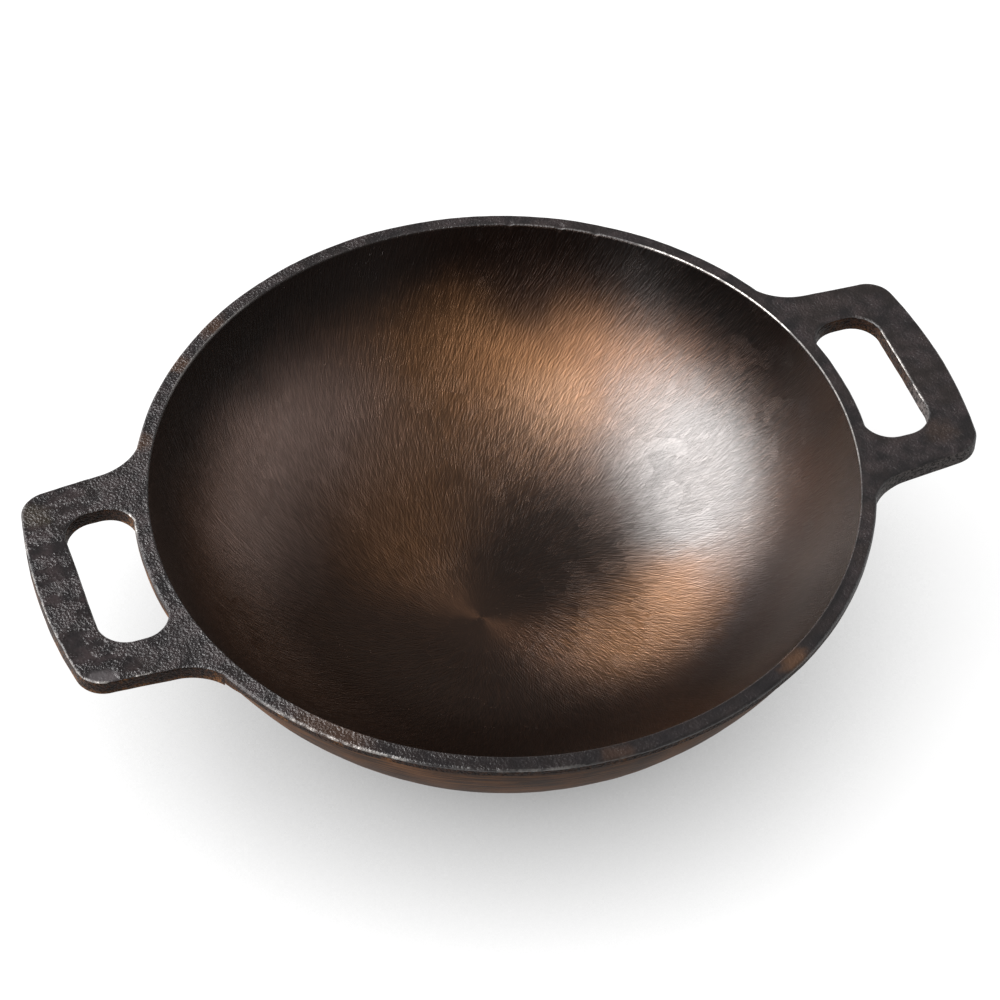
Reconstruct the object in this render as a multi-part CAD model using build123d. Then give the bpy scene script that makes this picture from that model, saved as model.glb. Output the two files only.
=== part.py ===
"""A two-handled cast-iron kadai, in millimetres.

The kadai is one sand casting. Its natural regions are separate solids that meet face to face:
the base with its flat resting face, the heel, the wall, the lip round the mouth, and two handles.
The origin is the centre of the resting face, +Z is up, and the handles lie along X.
"""
import os
from math import asin, atan2, cos, degrees, radians, sin, sqrt

from build123d import *

# Mouth and lip
rim_outer_diameter = 254.0
land_height = 2.8
land_step = 1.0

# Bowl, outside
overall_height = 84.0
base_diameter = 98.0
base_edge_radius = 2.5
wall_arc_radius = 134.0

# Bowl, inside
wall_thickness = 5.0
floor_thickness = 5.0
floor_dish_radius = 200.0
floor_blend_radius = 100.0
base_node_height = 14.0
heel_node_height = 28.0

# Handles, which are flush with the top of the lip
handle_thickness = 6.5
handle_root_width = 90.4
handle_end_width = 86.0
handle_end_radius = 185.0
handle_corner_radius = 10.0
handle_root_radius = 20.5
handle_edge_radius = 1.0
end_bar_width = 15.0
slot_width = 22.0
slot_length = 58.4
slot_corner_radius = 10.0
root_lap = 0.5

overrun = 5.0

rim_radius = rim_outer_diameter / 2
base_radius = base_diameter / 2
wall_top_radius = rim_radius - land_step
land_bottom = overall_height - land_height
lip_bottom = overall_height - handle_thickness
wall_node_bottom = base_node_height + heel_node_height
handle_reach = rim_radius + slot_width + end_bar_width


def arc_centre(low, high, radius):
    """Centre of the arc from low to high that bulges down and out, away from the axis."""
    run, rise = high[0] - low[0], high[1] - low[1]
    chord = sqrt(run**2 + rise**2)
    setback = sqrt(radius**2 - (chord / 2) ** 2)
    middle = ((low[0] + high[0]) / 2, (low[1] + high[1]) / 2)
    return middle[0] - setback * rise / chord, middle[1] + setback * run / chord


def arc_about(centre, start, end):
    """The shorter arc about centre from start to end."""
    radius = sqrt((start[0] - centre[0]) ** 2 + (start[1] - centre[1]) ** 2)
    first = atan2(start[1] - centre[1], start[0] - centre[0])
    last = atan2(end[1] - centre[1], end[0] - centre[0])
    angle = (first + last) / 2
    middle = (centre[0] + radius * cos(angle), centre[1] + radius * sin(angle))
    return ThreePointArc(start, middle, end)


def outer_meeting(centre_a, radius_a, centre_b, radius_b):
    """Where two circles meet, on the side away from the axis."""
    run, rise = centre_b[0] - centre_a[0], centre_b[1] - centre_a[1]
    apart = sqrt(run**2 + rise**2)
    along = (radius_a**2 - radius_b**2 + apart**2) / (2 * apart)
    off = sqrt(radius_a**2 - along**2)
    foot_r, foot_z = centre_a[0] + along * run / apart, centre_a[1] + along * rise / apart
    return max((foot_r + side * off * rise / apart, foot_z - side * off * run / apart) for side in (1, -1))


def toward(centre, through, radius):
    """The point at radius from centre, on the line through another point."""
    run, rise = through[0] - centre[0], through[1] - centre[1]
    apart = sqrt(run**2 + rise**2)
    return centre[0] + radius * run / apart, centre[1] + radius * rise / apart


def turned(outline):
    """The solid that a closed outline in the XZ plane sweeps round the Z axis."""
    return revolve(Plane.XZ * make_face(outline), Axis.Z)


def level_slab(low, high):
    """Everything between two heights, wider than the whole kadai."""
    return Pos(0, 0, low) * extrude(Circle(handle_reach + overrun), high - low)


wall_centre = arc_centre((base_radius, 0), (wall_top_radius, land_bottom), wall_arc_radius)
inner_wall_radius = wall_arc_radius - wall_thickness
mouth_radius = wall_centre[0] + sqrt(inner_wall_radius**2 - (overall_height - wall_centre[1]) ** 2)


def outside_of_bowl():
    """The bowl's outside, solid through: flat base, one long wall arc, and the upright land."""
    base_edge = (base_radius, 0)
    land_low = (wall_top_radius, land_bottom)
    wall = arc_about(wall_centre, base_edge, land_low)
    land = Polyline(land_low, (rim_radius, land_bottom), (rim_radius, overall_height), (0, overall_height))
    return turned(Curve() + [wall, land, Polyline((0, overall_height), (0, 0), base_edge)])


def inside_of_bowl():
    """The hollow: a shallow floor dish, a wide blend, and a wall arc parallel to the outside."""
    floor_centre = (0, floor_thickness + floor_dish_radius)
    wall_offset = inner_wall_radius - floor_blend_radius
    floor_offset = floor_dish_radius - floor_blend_radius
    blend_centre = outer_meeting(wall_centre, wall_offset, floor_centre, floor_offset)
    pole = (0, floor_thickness)
    floor_end = toward(floor_centre, blend_centre, floor_dish_radius)
    wall_start = toward(wall_centre, blend_centre, inner_wall_radius)
    mouth = (mouth_radius, overall_height)
    above = overall_height + overrun
    return turned(
        Curve()
        + [
            arc_about(floor_centre, pole, floor_end),
            arc_about(blend_centre, floor_end, wall_start),
            arc_about(wall_centre, wall_start, mouth),
            Polyline(mouth, (mouth_radius, above), (0, above), pole),
        ]
    )


def root_half_angle():
    """Half of the angle that one handle's root takes up on the lip, in degrees."""
    to_fillet = rim_radius - root_lap + handle_root_radius
    fillet_angle = asin((handle_root_width / 2 + handle_root_radius) / to_fillet)
    back = (rim_radius**2 + to_fillet**2 - handle_root_radius**2) / (2 * rim_radius * to_fillet)
    return degrees(fillet_angle - atan2(sqrt(1 - back**2), back))


def handle_root_pad():
    """The lip's full-depth stretch between a handle's two roots, which closes the slot's inner side."""
    inner = wall_top_radius - wall_thickness / 2
    ring = Circle(rim_radius) - Circle(inner)
    reach = rim_radius * 2
    rise = reach * sin(radians(root_half_angle()))
    run = reach * cos(radians(root_half_angle()))
    wedge = make_face(Polyline((0, 0), (run, -rise), (run, rise), (0, 0)))
    return Pos(0, 0, lip_bottom) * extrude(ring & wedge, handle_thickness)


def slot_plan():
    """The finger slot: it follows the lip on its inner side and has rounded corners."""
    inner_radius = rim_radius - root_lap
    outer = rim_radius + slot_width
    end = slot_length / 2
    shoulder = sqrt(inner_radius**2 - end**2)
    edge = Curve() + [
        ThreePointArc((shoulder, -end), (inner_radius, 0), (shoulder, end)),
        Polyline((shoulder, end), (outer, end), (outer, -end), (shoulder, -end)),
    ]
    face = make_face(edge)
    return fillet(face.vertices(), slot_corner_radius)


def handle_plan():
    """One handle seen from above: a blunt plate that flares into the round of the lip."""
    root, tip = handle_root_width / 2, handle_end_width / 2
    corner = handle_reach - handle_end_radius + sqrt(handle_end_radius**2 - tip**2)
    inboard = rim_radius / 2
    flare = (root - tip) / (corner - rim_radius)
    inboard_side = root + flare * (rim_radius - inboard)
    edge = Curve() + [
        Polyline((corner, tip), (inboard, inboard_side), (inboard, -inboard_side), (corner, -tip)),
        ThreePointArc((corner, -tip), (handle_reach, 0), (corner, tip)),
    ]
    plan = make_face(edge) + Circle(rim_radius - root_lap)
    plan = fillet(plan.vertices().sort_by(Axis.X)[:2], handle_root_radius)
    return fillet(plan.vertices().sort_by(Axis.X)[-2:], handle_corner_radius)


def handle_right():
    """The plate with its slot and rounded edges, cut off square to the lip's cylinder."""
    plate = Pos(0, 0, lip_bottom) * extrude(handle_plan() - slot_plan(), handle_thickness)
    outlines = plate.faces().filter_by(Plane.XY).edges()
    rounded = fillet([edge for edge in outlines if edge.center().X > rim_radius], handle_edge_radius)
    return rounded - lip_cylinder()


def lip_cylinder():
    """The cylinder that the lip's outer face lies on, taller than the lip."""
    return Pos(0, 0, lip_bottom - overrun) * extrude(Circle(rim_radius), handle_thickness + 2 * overrun)


def build_nodes():
    """Every node of the kadai by name."""
    casting = outside_of_bowl() - inside_of_bowl()
    base = casting & level_slab(0, base_node_height)
    resting_edge = base.edges().filter_by(GeomType.CIRCLE).sort_by(Axis.Z)[:1]
    pad = handle_root_pad()
    lip = (casting & level_slab(lip_bottom, overall_height)) + pad + Rot(0, 0, 180) * pad
    handle = handle_right()
    return {
        "bowl_base": fillet(resting_edge, base_edge_radius),
        "bowl_heel": casting & level_slab(base_node_height, wall_node_bottom),
        "bowl_wall": casting & level_slab(wall_node_bottom, lip_bottom),
        "rim_lip": lip,
        "handle_right": handle,
        "handle_left": Rot(0, 0, 180) * handle,
    }


def main():
    """Write one STEP file for each node."""
    os.makedirs("parts", exist_ok=True)
    for name, solid in build_nodes().items():
        solid.label = name
        export_step(solid, f"parts/{name}.step")
        print(f"{name}: {solid.volume:.0f} mm3, {len(solid.solids())} solid")


if __name__ == "__main__":
    main()
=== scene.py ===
"""The visual model of a two-handled cast-iron kadai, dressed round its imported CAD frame.

The kadai is one sand casting. Its bowl, its lip and its two handles are separate pieces here, as
they are in the frame, and each stands for the CAD nodes of the same place. The inside is ground and
seasoned, and the lip, the handles and the outside keep their cast skin. Places are in metres, with
sizes written in millimetres times MM, and the materials work in millimetres.
"""
from __future__ import annotations

import logging
import math
from dataclasses import dataclass, field
from enum import Enum, IntEnum
from functools import partialmethod

import bmesh
import bpy
from mathutils import Matrix, Vector, noise

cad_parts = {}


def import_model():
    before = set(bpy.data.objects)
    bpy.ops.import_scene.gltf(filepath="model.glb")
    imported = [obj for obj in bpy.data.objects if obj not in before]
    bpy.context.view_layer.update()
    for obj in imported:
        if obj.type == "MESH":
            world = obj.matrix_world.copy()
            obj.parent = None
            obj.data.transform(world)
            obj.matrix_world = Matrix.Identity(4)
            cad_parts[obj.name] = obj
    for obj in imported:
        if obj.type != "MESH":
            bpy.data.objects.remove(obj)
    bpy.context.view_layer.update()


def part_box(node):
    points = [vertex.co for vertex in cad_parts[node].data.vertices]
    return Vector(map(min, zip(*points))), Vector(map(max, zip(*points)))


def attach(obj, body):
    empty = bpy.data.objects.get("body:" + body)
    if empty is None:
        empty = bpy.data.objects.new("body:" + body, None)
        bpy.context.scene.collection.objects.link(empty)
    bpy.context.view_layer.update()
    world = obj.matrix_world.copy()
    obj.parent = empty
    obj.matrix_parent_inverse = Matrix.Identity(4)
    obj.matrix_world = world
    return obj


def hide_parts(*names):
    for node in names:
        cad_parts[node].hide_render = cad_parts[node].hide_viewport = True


MM = 0.001
PER_METRE = 1000.0
MERGE_GAP = 1e-7
WEAR_LAYER = "edge_wear"
RELIEF_SEED = 3

log = logging.getLogger("kadai")


class Side(Enum):
    """Which handle: the value is the sign of its X."""

    RIGHT = 1
    LEFT = -1


class Skin(IntEnum):
    """Material slots of a casting, in order."""

    CAST = 0
    GROUND = 1
    WALL = 2
    SIDE = 3


def clamp(value: float, low: float, high: float) -> float:
    """The nearest value in a range."""
    return min(max(value, low), high)


def smooth_step(value: float, low: float, high: float) -> float:
    """Eases from 0 at low to 1 at high.

    Args:
        value: what is measured.
        low: where the result leaves 0.
        high: where the result reaches 1, which may be under low.

    Returns:
        A share from 0 to 1.
    """
    share = clamp((value - low) / (high - low), 0.0, 1.0)
    return share * share * (3.0 - 2.0 * share)


def add_object(name: str, data: bpy.types.ID) -> bpy.types.Object:
    """Makes an object of a mesh, a lamp or a camera, and links it into the scene."""
    made = bpy.data.objects.new(name, data)
    bpy.context.scene.collection.objects.link(made)
    return made


@dataclass(frozen=True)
class Round:
    """A circle in a section or in a plan."""

    across: float
    up: float
    radius: float

    def across_at(self, up: float) -> float:
        """How far across the circle's outer side is at a height."""
        return self.across + math.sqrt(max(self.radius**2 - (up - self.up) ** 2, 0.0))

    def toward(self, across: float, up: float) -> tuple[float, float]:
        """The circle's point on the line from its centre through another point."""
        run, rise = across - self.across, up - self.up
        apart = math.hypot(run, rise)
        return self.across + self.radius * run / apart, self.up + self.radius * rise / apart


@dataclass(frozen=True)
class KadaiSizes:
    """The casting's sizes. The first four are read from the frame."""

    rim_radius: float
    height: float
    lip_bottom: float
    reach: float
    land_height: float = 2.8 * MM
    land_step: float = 1.0 * MM
    base_radius: float = 49.0 * MM
    base_edge_radius: float = 2.5 * MM
    wall_arc_radius: float = 134.0 * MM
    wall_thickness: float = 5.0 * MM
    floor_thickness: float = 5.0 * MM
    floor_dish_radius: float = 200.0 * MM
    floor_blend_radius: float = 100.0 * MM
    mouth_chamfer: float = 0.3 * MM
    edge_radius: float = 1.0 * MM
    root_half_width: float = 45.2 * MM
    end_half_width: float = 43.0 * MM
    end_radius: float = 185.0 * MM
    corner_radius: float = 10.0 * MM
    root_fillet: float = 20.5 * MM
    root_lap: float = 0.5 * MM
    slot_width: float = 22.0 * MM
    slot_half_length: float = 29.2 * MM
    slot_corner: float = 10.0 * MM

    @classmethod
    def from_frame(cls) -> KadaiSizes:
        """Reads the outer sizes from the CAD nodes' boxes."""
        low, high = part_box("rim_lip")
        return cls(high.y, high.z, low.z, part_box("handle_right")[1].x)

    @property
    def land_bottom(self) -> float:
        """Height of the step under the lip's land."""
        return self.height - self.land_height


class BowlCurve:
    """The arcs of the bowl's section, outside and inside."""

    def __init__(self, sizes: KadaiSizes) -> None:
        self.sizes = sizes
        self.outer = self._outer_arc(sizes)
        self.wall = Round(self.outer.across, self.outer.up, sizes.wall_arc_radius - sizes.wall_thickness)
        self.floor = Round(0.0, sizes.floor_thickness + sizes.floor_dish_radius, sizes.floor_dish_radius)
        self.blend = self._blend_arc()
        self.floor_end = self.floor.toward(self.blend.across, self.blend.up)
        self.wall_start = self.wall.toward(self.blend.across, self.blend.up)
        self.mouth_radius = self.wall.across_at(sizes.height)

    @staticmethod
    def _outer_arc(sizes: KadaiSizes) -> Round:
        """The long arc from the base's edge to the foot of the land."""
        low = Vector((sizes.base_radius, 0.0))
        high = Vector((sizes.rim_radius - sizes.land_step, sizes.land_bottom))
        chord = high - low
        setback = math.sqrt(sizes.wall_arc_radius**2 - (chord.length / 2) ** 2)
        centre = (low + high) / 2 + Vector((-chord.y, chord.x)).normalized() * setback
        return Round(centre.x, centre.y, sizes.wall_arc_radius)

    def _blend_arc(self) -> Round:
        """The wide arc that joins the floor's dish to the wall, tangent to both."""
        radius = self.sizes.floor_blend_radius
        wall_offset, floor_offset = self.wall.radius - radius, self.floor.radius - radius
        run, rise = self.floor.across - self.wall.across, self.floor.up - self.wall.up
        apart = math.hypot(run, rise)
        along = (wall_offset**2 - floor_offset**2 + apart**2) / (2 * apart)
        off = math.sqrt(wall_offset**2 - along**2)
        foot = self.wall.across + along * run / apart, self.wall.up + along * rise / apart
        return Round(foot[0] + off * rise / apart, foot[1] - off * run / apart, radius)

    def inner_radius(self, up: float) -> float:
        """The hollow's radius at a height, nothing under its floor."""
        if up <= self.sizes.floor_thickness:
            return 0.0
        if up < self.floor_end[1]:
            return self.floor.across_at(up)
        if up < self.wall_start[1]:
            return self.blend.across_at(up)
        return self.wall.across_at(up)


@dataclass(frozen=True)
class PlanArc:
    """An arc of a handle's outline, from one angle to another about its centre."""

    circle: Round
    start: float
    end: float

    @property
    def length(self) -> float:
        """The arc's length."""
        return abs(self.end - self.start) * self.circle.radius

    def point(self, share: float) -> Vector:
        """The point at a share of the arc."""
        angle = self.start + (self.end - self.start) * share
        return Vector((
            self.circle.across + self.circle.radius * math.cos(angle),
            self.circle.up + self.circle.radius * math.sin(angle),
        ))

    def distance(self, point: Vector) -> float:
        """How far a point lies from the arc."""
        run, rise = point.x - self.circle.across, point.y - self.circle.up
        middle = (self.start + self.end) / 2
        off = (math.atan2(rise, run) - middle + math.pi) % math.tau - math.pi
        if abs(off) <= abs(self.end - self.start) / 2:
            return abs(math.hypot(run, rise) - self.circle.radius)
        return min((point - self.point(0.0)).length, (point - self.point(1.0)).length)


@dataclass(frozen=True)
class PlanLine:
    """A straight stretch of a handle's outline."""

    first: Vector
    last: Vector

    @property
    def length(self) -> float:
        """The line's length."""
        return (self.last - self.first).length

    def point(self, share: float) -> Vector:
        """The point at a share of the line."""
        return self.first.lerp(self.last, share)

    def distance(self, point: Vector) -> float:
        """How far a point lies from the line."""
        run = self.last - self.first
        share = clamp((point - self.first).dot(run) / run.length_squared, 0.0, 1.0)
        return (point - self.point(share)).length


@dataclass(frozen=True)
class PlanPath:
    """Arcs and lines, end to end."""

    parts: tuple[PlanArc | PlanLine, ...]

    def point(self, share: float) -> Vector:
        """The point at a share of the whole length."""
        left = share * sum(part.length for part in self.parts)
        for part in self.parts[:-1]:
            if left <= part.length:
                return part.point(left / part.length)
            left -= part.length
        return self.parts[-1].point(min(left / self.parts[-1].length, 1.0))

    def distance(self, point: Vector) -> float:
        """How far a point lies from the nearest part."""
        return min(part.distance(point) for part in self.parts)


class HandlePlan:
    """One quarter of the kadai's outline seen from above: half of the right handle and its slot.

    Both paths start where they leave the lip's circle and end in the middle of the handle, so the
    other quarters are its mirror images.
    """

    def __init__(self, sizes: KadaiSizes) -> None:
        self.sizes = sizes
        self.outer = self._outer_path()
        self.slot = self._slot_path()
        self.outer_angle = self._angle(self.outer.point(0.0))
        self.slot_angle = self._angle(self.slot.point(0.0))

    @staticmethod
    def _angle(point: Vector) -> float:
        """A point's angle round the kadai's axis."""
        return math.atan2(point.y, point.x)

    def _leaving(self, centre: Vector, radius: float, far_side: int) -> float:
        """The angle on a fillet's circle where it crosses the lip's circle.

        Args:
            centre: the fillet's centre.
            radius: the fillet's radius.
            far_side: 1 for the crossing at the larger angle round the axis, -1 for the other.

        Returns:
            The angle about the fillet's centre.
        """
        rim, apart = self.sizes.rim_radius, centre.length
        spread = math.acos((rim**2 + apart**2 - radius**2) / (2 * rim * apart))
        angle = self._angle(centre) + far_side * spread
        crossing = Vector((rim * math.cos(angle), rim * math.sin(angle)))
        return self._angle(crossing - centre) % math.tau

    def _outer_path(self) -> PlanPath:
        """Root fillet, side, corner and the gently rounded end."""
        sizes = self.sizes
        end = Round(sizes.reach - sizes.end_radius, 0.0, sizes.end_radius)
        root = Vector((sizes.rim_radius, sizes.root_half_width))
        tip = Vector((end.across_at(sizes.end_half_width), sizes.end_half_width))
        along = (tip - root).normalized()
        outward = Vector((-along.y, along.x))
        fillet_reach = sizes.rim_radius - sizes.root_lap + sizes.root_fillet
        fillet = self._beside(root + outward * sizes.root_fillet, along, Vector((0, 0)), fillet_reach)
        corner_start = root - outward * sizes.corner_radius
        end_centre = Vector((end.across, 0.0))
        corner = self._beside(corner_start, along, end_centre, end.radius - sizes.corner_radius)
        side_angle = self._angle(outward)
        end_angle = self._angle(corner - end_centre)
        leaving = self._leaving(fillet, sizes.root_fillet, -1)
        return PlanPath((
            PlanArc(Round(fillet.x, fillet.y, sizes.root_fillet), leaving, side_angle + math.pi),
            PlanLine(fillet - outward * sizes.root_fillet, corner + outward * sizes.corner_radius),
            PlanArc(Round(corner.x, corner.y, sizes.corner_radius), side_angle, end_angle),
            PlanArc(end, end_angle, 0.0),
        ))

    @staticmethod
    def _beside(start: Vector, along: Vector, centre: Vector, distance: float) -> Vector:
        """The point on a line that lies at a distance from a centre, on its far side."""
        gap = start - centre
        back = gap.dot(along)
        return start + along * (math.sqrt(back**2 - gap.length_squared + distance**2) - back)

    def _slot_path(self) -> PlanPath:
        """Inner corner, short end, outer corner and the straight outer side."""
        sizes = self.sizes
        radius, half = sizes.slot_corner, sizes.slot_half_length
        height = half - radius
        inner_reach = sizes.rim_radius - sizes.root_lap + radius
        inner = Vector((math.sqrt(inner_reach**2 - height**2), height))
        outer_side = sizes.rim_radius + sizes.slot_width
        outer = Vector((outer_side - radius, height))
        leaving = self._leaving(inner, radius, 1)
        return PlanPath((
            PlanArc(Round(inner.x, inner.y, radius), leaving, math.pi / 2),
            PlanLine(Vector((inner.x, half)), Vector((outer.x, half))),
            PlanArc(Round(outer.x, outer.y, radius), math.pi / 2, 0.0),
            PlanLine(Vector((outer_side, height)), Vector((outer_side, 0.0))),
        ))

    def edge_distance(self, point: Vector) -> float:
        """How far inside the outline a point of the lip or of a handle lies.

        Args:
            point: any point, of which X and Y are read.

        Returns:
            The distance to the nearest outer edge or slot edge.
        """
        folded = Vector((abs(point.x), abs(point.y)))
        angle, radius = self._angle(folded), folded.length
        rim = self.sizes.rim_radius
        free = angle > self.outer_angle or angle < self.slot_angle
        if radius <= rim + MERGE_GAP and free:
            return max(rim - radius, 0.0)
        return min(self.outer.distance(folded), self.slot.distance(folded))

    def edge_drop(self, distance: float) -> float:
        """How far the rounded edge has dropped at a distance inside the outline."""
        radius = self.sizes.edge_radius
        short = max(radius - distance, 0.0)
        return radius - math.sqrt(radius**2 - short**2)


@dataclass(frozen=True)
class Chip:
    """A small nick in the edge of the lip."""

    angle: float
    radius: float
    size: float
    depth: float

    def shift(self, point: Vector, height: float) -> Vector:
        """How far this chip, in an edge at a height, lowers a point."""
        angle = math.radians(self.angle)
        centre = Vector((self.radius * math.cos(angle), self.radius * math.sin(angle), height))
        share = max(1.0 - (point - centre).length / self.size, 0.0)
        return Vector((0.0, 0.0, -self.depth * share * (2.0 - share)))


@dataclass(frozen=True)
class CastRelief:
    """The unevenness that the sand mould leaves, as one field, so that neighbours keep meeting."""

    curve: BowlCurve
    chips: tuple[Chip, ...]
    swell_size: float = 17.0 * MM
    swell_depth: float = 0.17 * MM
    lump_size: float = 4.2 * MM
    lump_depth: float = 0.055 * MM
    inside_share: float = 0.12
    skin_depth: float = 2.0 * MM
    foot_height: float = 6.0 * MM

    def cast_share(self, point: Vector) -> float:
        """How much of the cast skin's unevenness a point has: none on the ground inside."""
        depth = math.hypot(point.x, point.y) - self.curve.inner_radius(point.z)
        return smooth_step(depth, 0.0, self.skin_depth)

    def moved(self, point: Vector) -> Vector:
        """Where the field takes a point, never out of the frame's box.

        Args:
            point: a point of the true shape.

        Returns:
            The same point of the uneven casting.
        """
        sizes = self.curve.sizes
        share = self.cast_share(point)
        swell = noise.noise_vector(point / self.swell_size) * self.swell_depth
        lump = noise.noise_vector(point / self.lump_size) * self.lump_depth
        shift = swell * (self.inside_share + (1.0 - self.inside_share) * share) + lump * share
        shift.z -= (self.swell_depth + self.lump_depth) * share
        if point.z > sizes.lip_bottom:
            for chip in self.chips:
                shift += chip.shift(point, sizes.height)
        shift.z *= smooth_step(point.z, 0.0, self.foot_height)
        new = point + shift
        new.x = clamp(new.x, -sizes.reach, sizes.reach)
        new.y = clamp(new.y, -sizes.rim_radius, sizes.rim_radius)
        new.z = clamp(new.z, 0.0, sizes.height)
        return new


class Lathe:
    """A section drawn with a pen in the XZ plane and then turned round the Z axis."""

    def __init__(self, across: float, up: float) -> None:
        self.mesh = bmesh.new()
        self.tip = self.mesh.verts.new((across, 0.0, up))
        self.first = self.tip

    def line(self, across: float, up: float, steps: int, crowding: float = 1.0) -> None:
        """Draws a straight stretch.

        Args:
            across: where it ends, from the axis.
            up: the height where it ends.
            steps: how many edges it has.
            crowding: over 1 draws the edges shorter towards the end.
        """
        start, end = self.tip.co.copy(), Vector((across, 0.0, up))
        for step in range(1, steps + 1):
            made = bmesh.ops.extrude_vert_indiv(self.mesh, verts=[self.tip])
            self.tip = made["verts"][0]
            self.tip.co = start.lerp(end, 1.0 - (1.0 - step / steps) ** crowding)

    def arc(self, circle: Round, across: float, up: float, steps: int) -> None:
        """Draws the shorter arc of a circle to a point on it."""
        start = math.atan2(self.tip.co.x - circle.across, self.tip.co.z - circle.up)
        sweep = math.atan2(across - circle.across, up - circle.up) - start
        sweep = (sweep + math.pi) % math.tau - math.pi
        made = bmesh.ops.spin(
            self.mesh, geom=[self.tip], cent=(circle.across, 0.0, circle.up), axis=(0.0, 1.0, 0.0),
            angle=sweep, steps=steps, use_duplicate=False,
        )
        self.tip = next(item for item in made["geom_last"] if isinstance(item, bmesh.types.BMVert))

    def close(self) -> None:
        """Joins the pen's tip to where the section began."""
        self.mesh.edges.new((self.tip, self.first))

    def turned(self, segments: int) -> bmesh.types.BMesh:
        """Turns the section all the way round.

        Args:
            segments: how many flats a circle has.

        Returns:
            The closed shell, with its faces outwards.
        """
        section = self.mesh.verts[:] + self.mesh.edges[:]
        bmesh.ops.spin(
            self.mesh, geom=section, cent=(0.0, 0.0, 0.0), axis=(0.0, 0.0, 1.0),
            angle=math.tau, steps=segments, use_merge=True, use_duplicate=False,
        )
        bmesh.ops.remove_doubles(self.mesh, verts=self.mesh.verts[:], dist=MERGE_GAP)
        bmesh.ops.recalc_face_normals(self.mesh, faces=self.mesh.faces[:])
        return self.mesh


@dataclass
class Casting:
    """What every piece of the casting shares: its relief, its skins and how it is put in the scene."""

    curve: BowlCurve
    plan: HandlePlan
    relief: CastRelief
    skins: dict[Skin, bpy.types.Material]
    sharp_angle: float = math.radians(38.0)
    wear_reach: float = 1.4 * MM
    ground_share: float = 0.05
    side_slope: float = 0.45

    @property
    def sizes(self) -> KadaiSizes:
        """The kadai's sizes."""
        return self.curve.sizes

    def skin_at(self, centre: Vector, normal: Vector) -> Skin:
        """The skin of a face, by its centre and normal on the true shape."""
        ground_top = self.sizes.height - self.sizes.mouth_chamfer
        if self.relief.cast_share(centre) < self.ground_share and centre.z < ground_top:
            return Skin.GROUND
        if centre.z < self.sizes.land_bottom:
            return Skin.WALL
        return Skin.SIDE if abs(normal.z) < self.side_slope else Skin.CAST

    def edge_wear(self, point: Vector) -> float:
        """How near a point of the true shape is to the outline's top edge: 1 on it, 0 away from it."""
        below = max(self.sizes.height - self.sizes.edge_radius - point.z, 0.0)
        if below > self.wear_reach:
            return 0.0
        away = math.hypot(self.plan.edge_distance(point), below)
        return max(1.0 - away / self.wear_reach, 0.0)

    def finish(self, name: str, mesh: bmesh.types.BMesh, slot: str, nodes: tuple[str, ...]) -> None:
        """Gives a true shape its skins, wear and relief, and puts it in the scene.

        Args:
            name: the piece's name.
            mesh: the true shape, which this frees.
            slot: not used.
            nodes: the CAD nodes that the piece stands for.
        """
        for face in mesh.faces:
            face.material_index = self.skin_at(face.calc_center_median(), face.normal)
            face.smooth = True
        wear = mesh.verts.layers.float.new(WEAR_LAYER)
        for vert in mesh.verts:
            vert[wear] = self.edge_wear(vert.co)
            vert.co = self.relief.moved(vert.co)
        data = bpy.data.meshes.new(name)
        mesh.to_mesh(data)
        mesh.free()
        data.set_sharp_from_angle(angle=self.sharp_angle)
        for skin in Skin:
            data.materials.append(self.skins[skin])
        piece = add_object(name, data)
        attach(piece, "root")
        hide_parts(*nodes)
        log.info("%s: %d faces, for %s", name, len(data.polygons), ", ".join(nodes))


@dataclass
class BowlCasting(Casting):
    """The bowl from its resting face to the lip, outside and inside."""

    segments: int = 720
    base_steps: int = 8
    edge_steps: int = 4
    outer_steps: int = 50
    top_steps: int = 2
    inner_steps: int = 44
    blend_steps: int = 14
    floor_steps: int = 16

    def build(self) -> None:
        """Turns the bowl's section."""
        sizes, curve = self.sizes, self.curve
        edge = self._base_edge()
        pen = Lathe(0.0, 0.0)
        pen.line(edge.across, 0.0, self.base_steps)
        pen.arc(edge, *curve.outer.toward(edge.across, edge.up), self.edge_steps)
        pen.arc(curve.outer, curve.outer.across_at(sizes.lip_bottom), sizes.lip_bottom, self.outer_steps)
        pen.line(curve.wall.across_at(sizes.lip_bottom), sizes.lip_bottom, self.top_steps)
        pen.arc(curve.wall, *curve.wall_start, self.inner_steps)
        pen.arc(curve.blend, *curve.floor_end, self.blend_steps)
        pen.arc(curve.floor, 0.0, sizes.floor_thickness, self.floor_steps)
        nodes = ("bowl_base", "bowl_heel", "bowl_wall")
        self.finish("bowl_casting", pen.turned(self.segments), "bowl_iron", nodes)

    def _base_edge(self) -> Round:
        """The small round between the resting face and the wall."""
        radius, outer = self.sizes.base_edge_radius, self.curve.outer
        inset = Round(outer.across, outer.up, outer.radius - radius)
        return Round(inset.across_at(radius), radius, radius)


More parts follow.
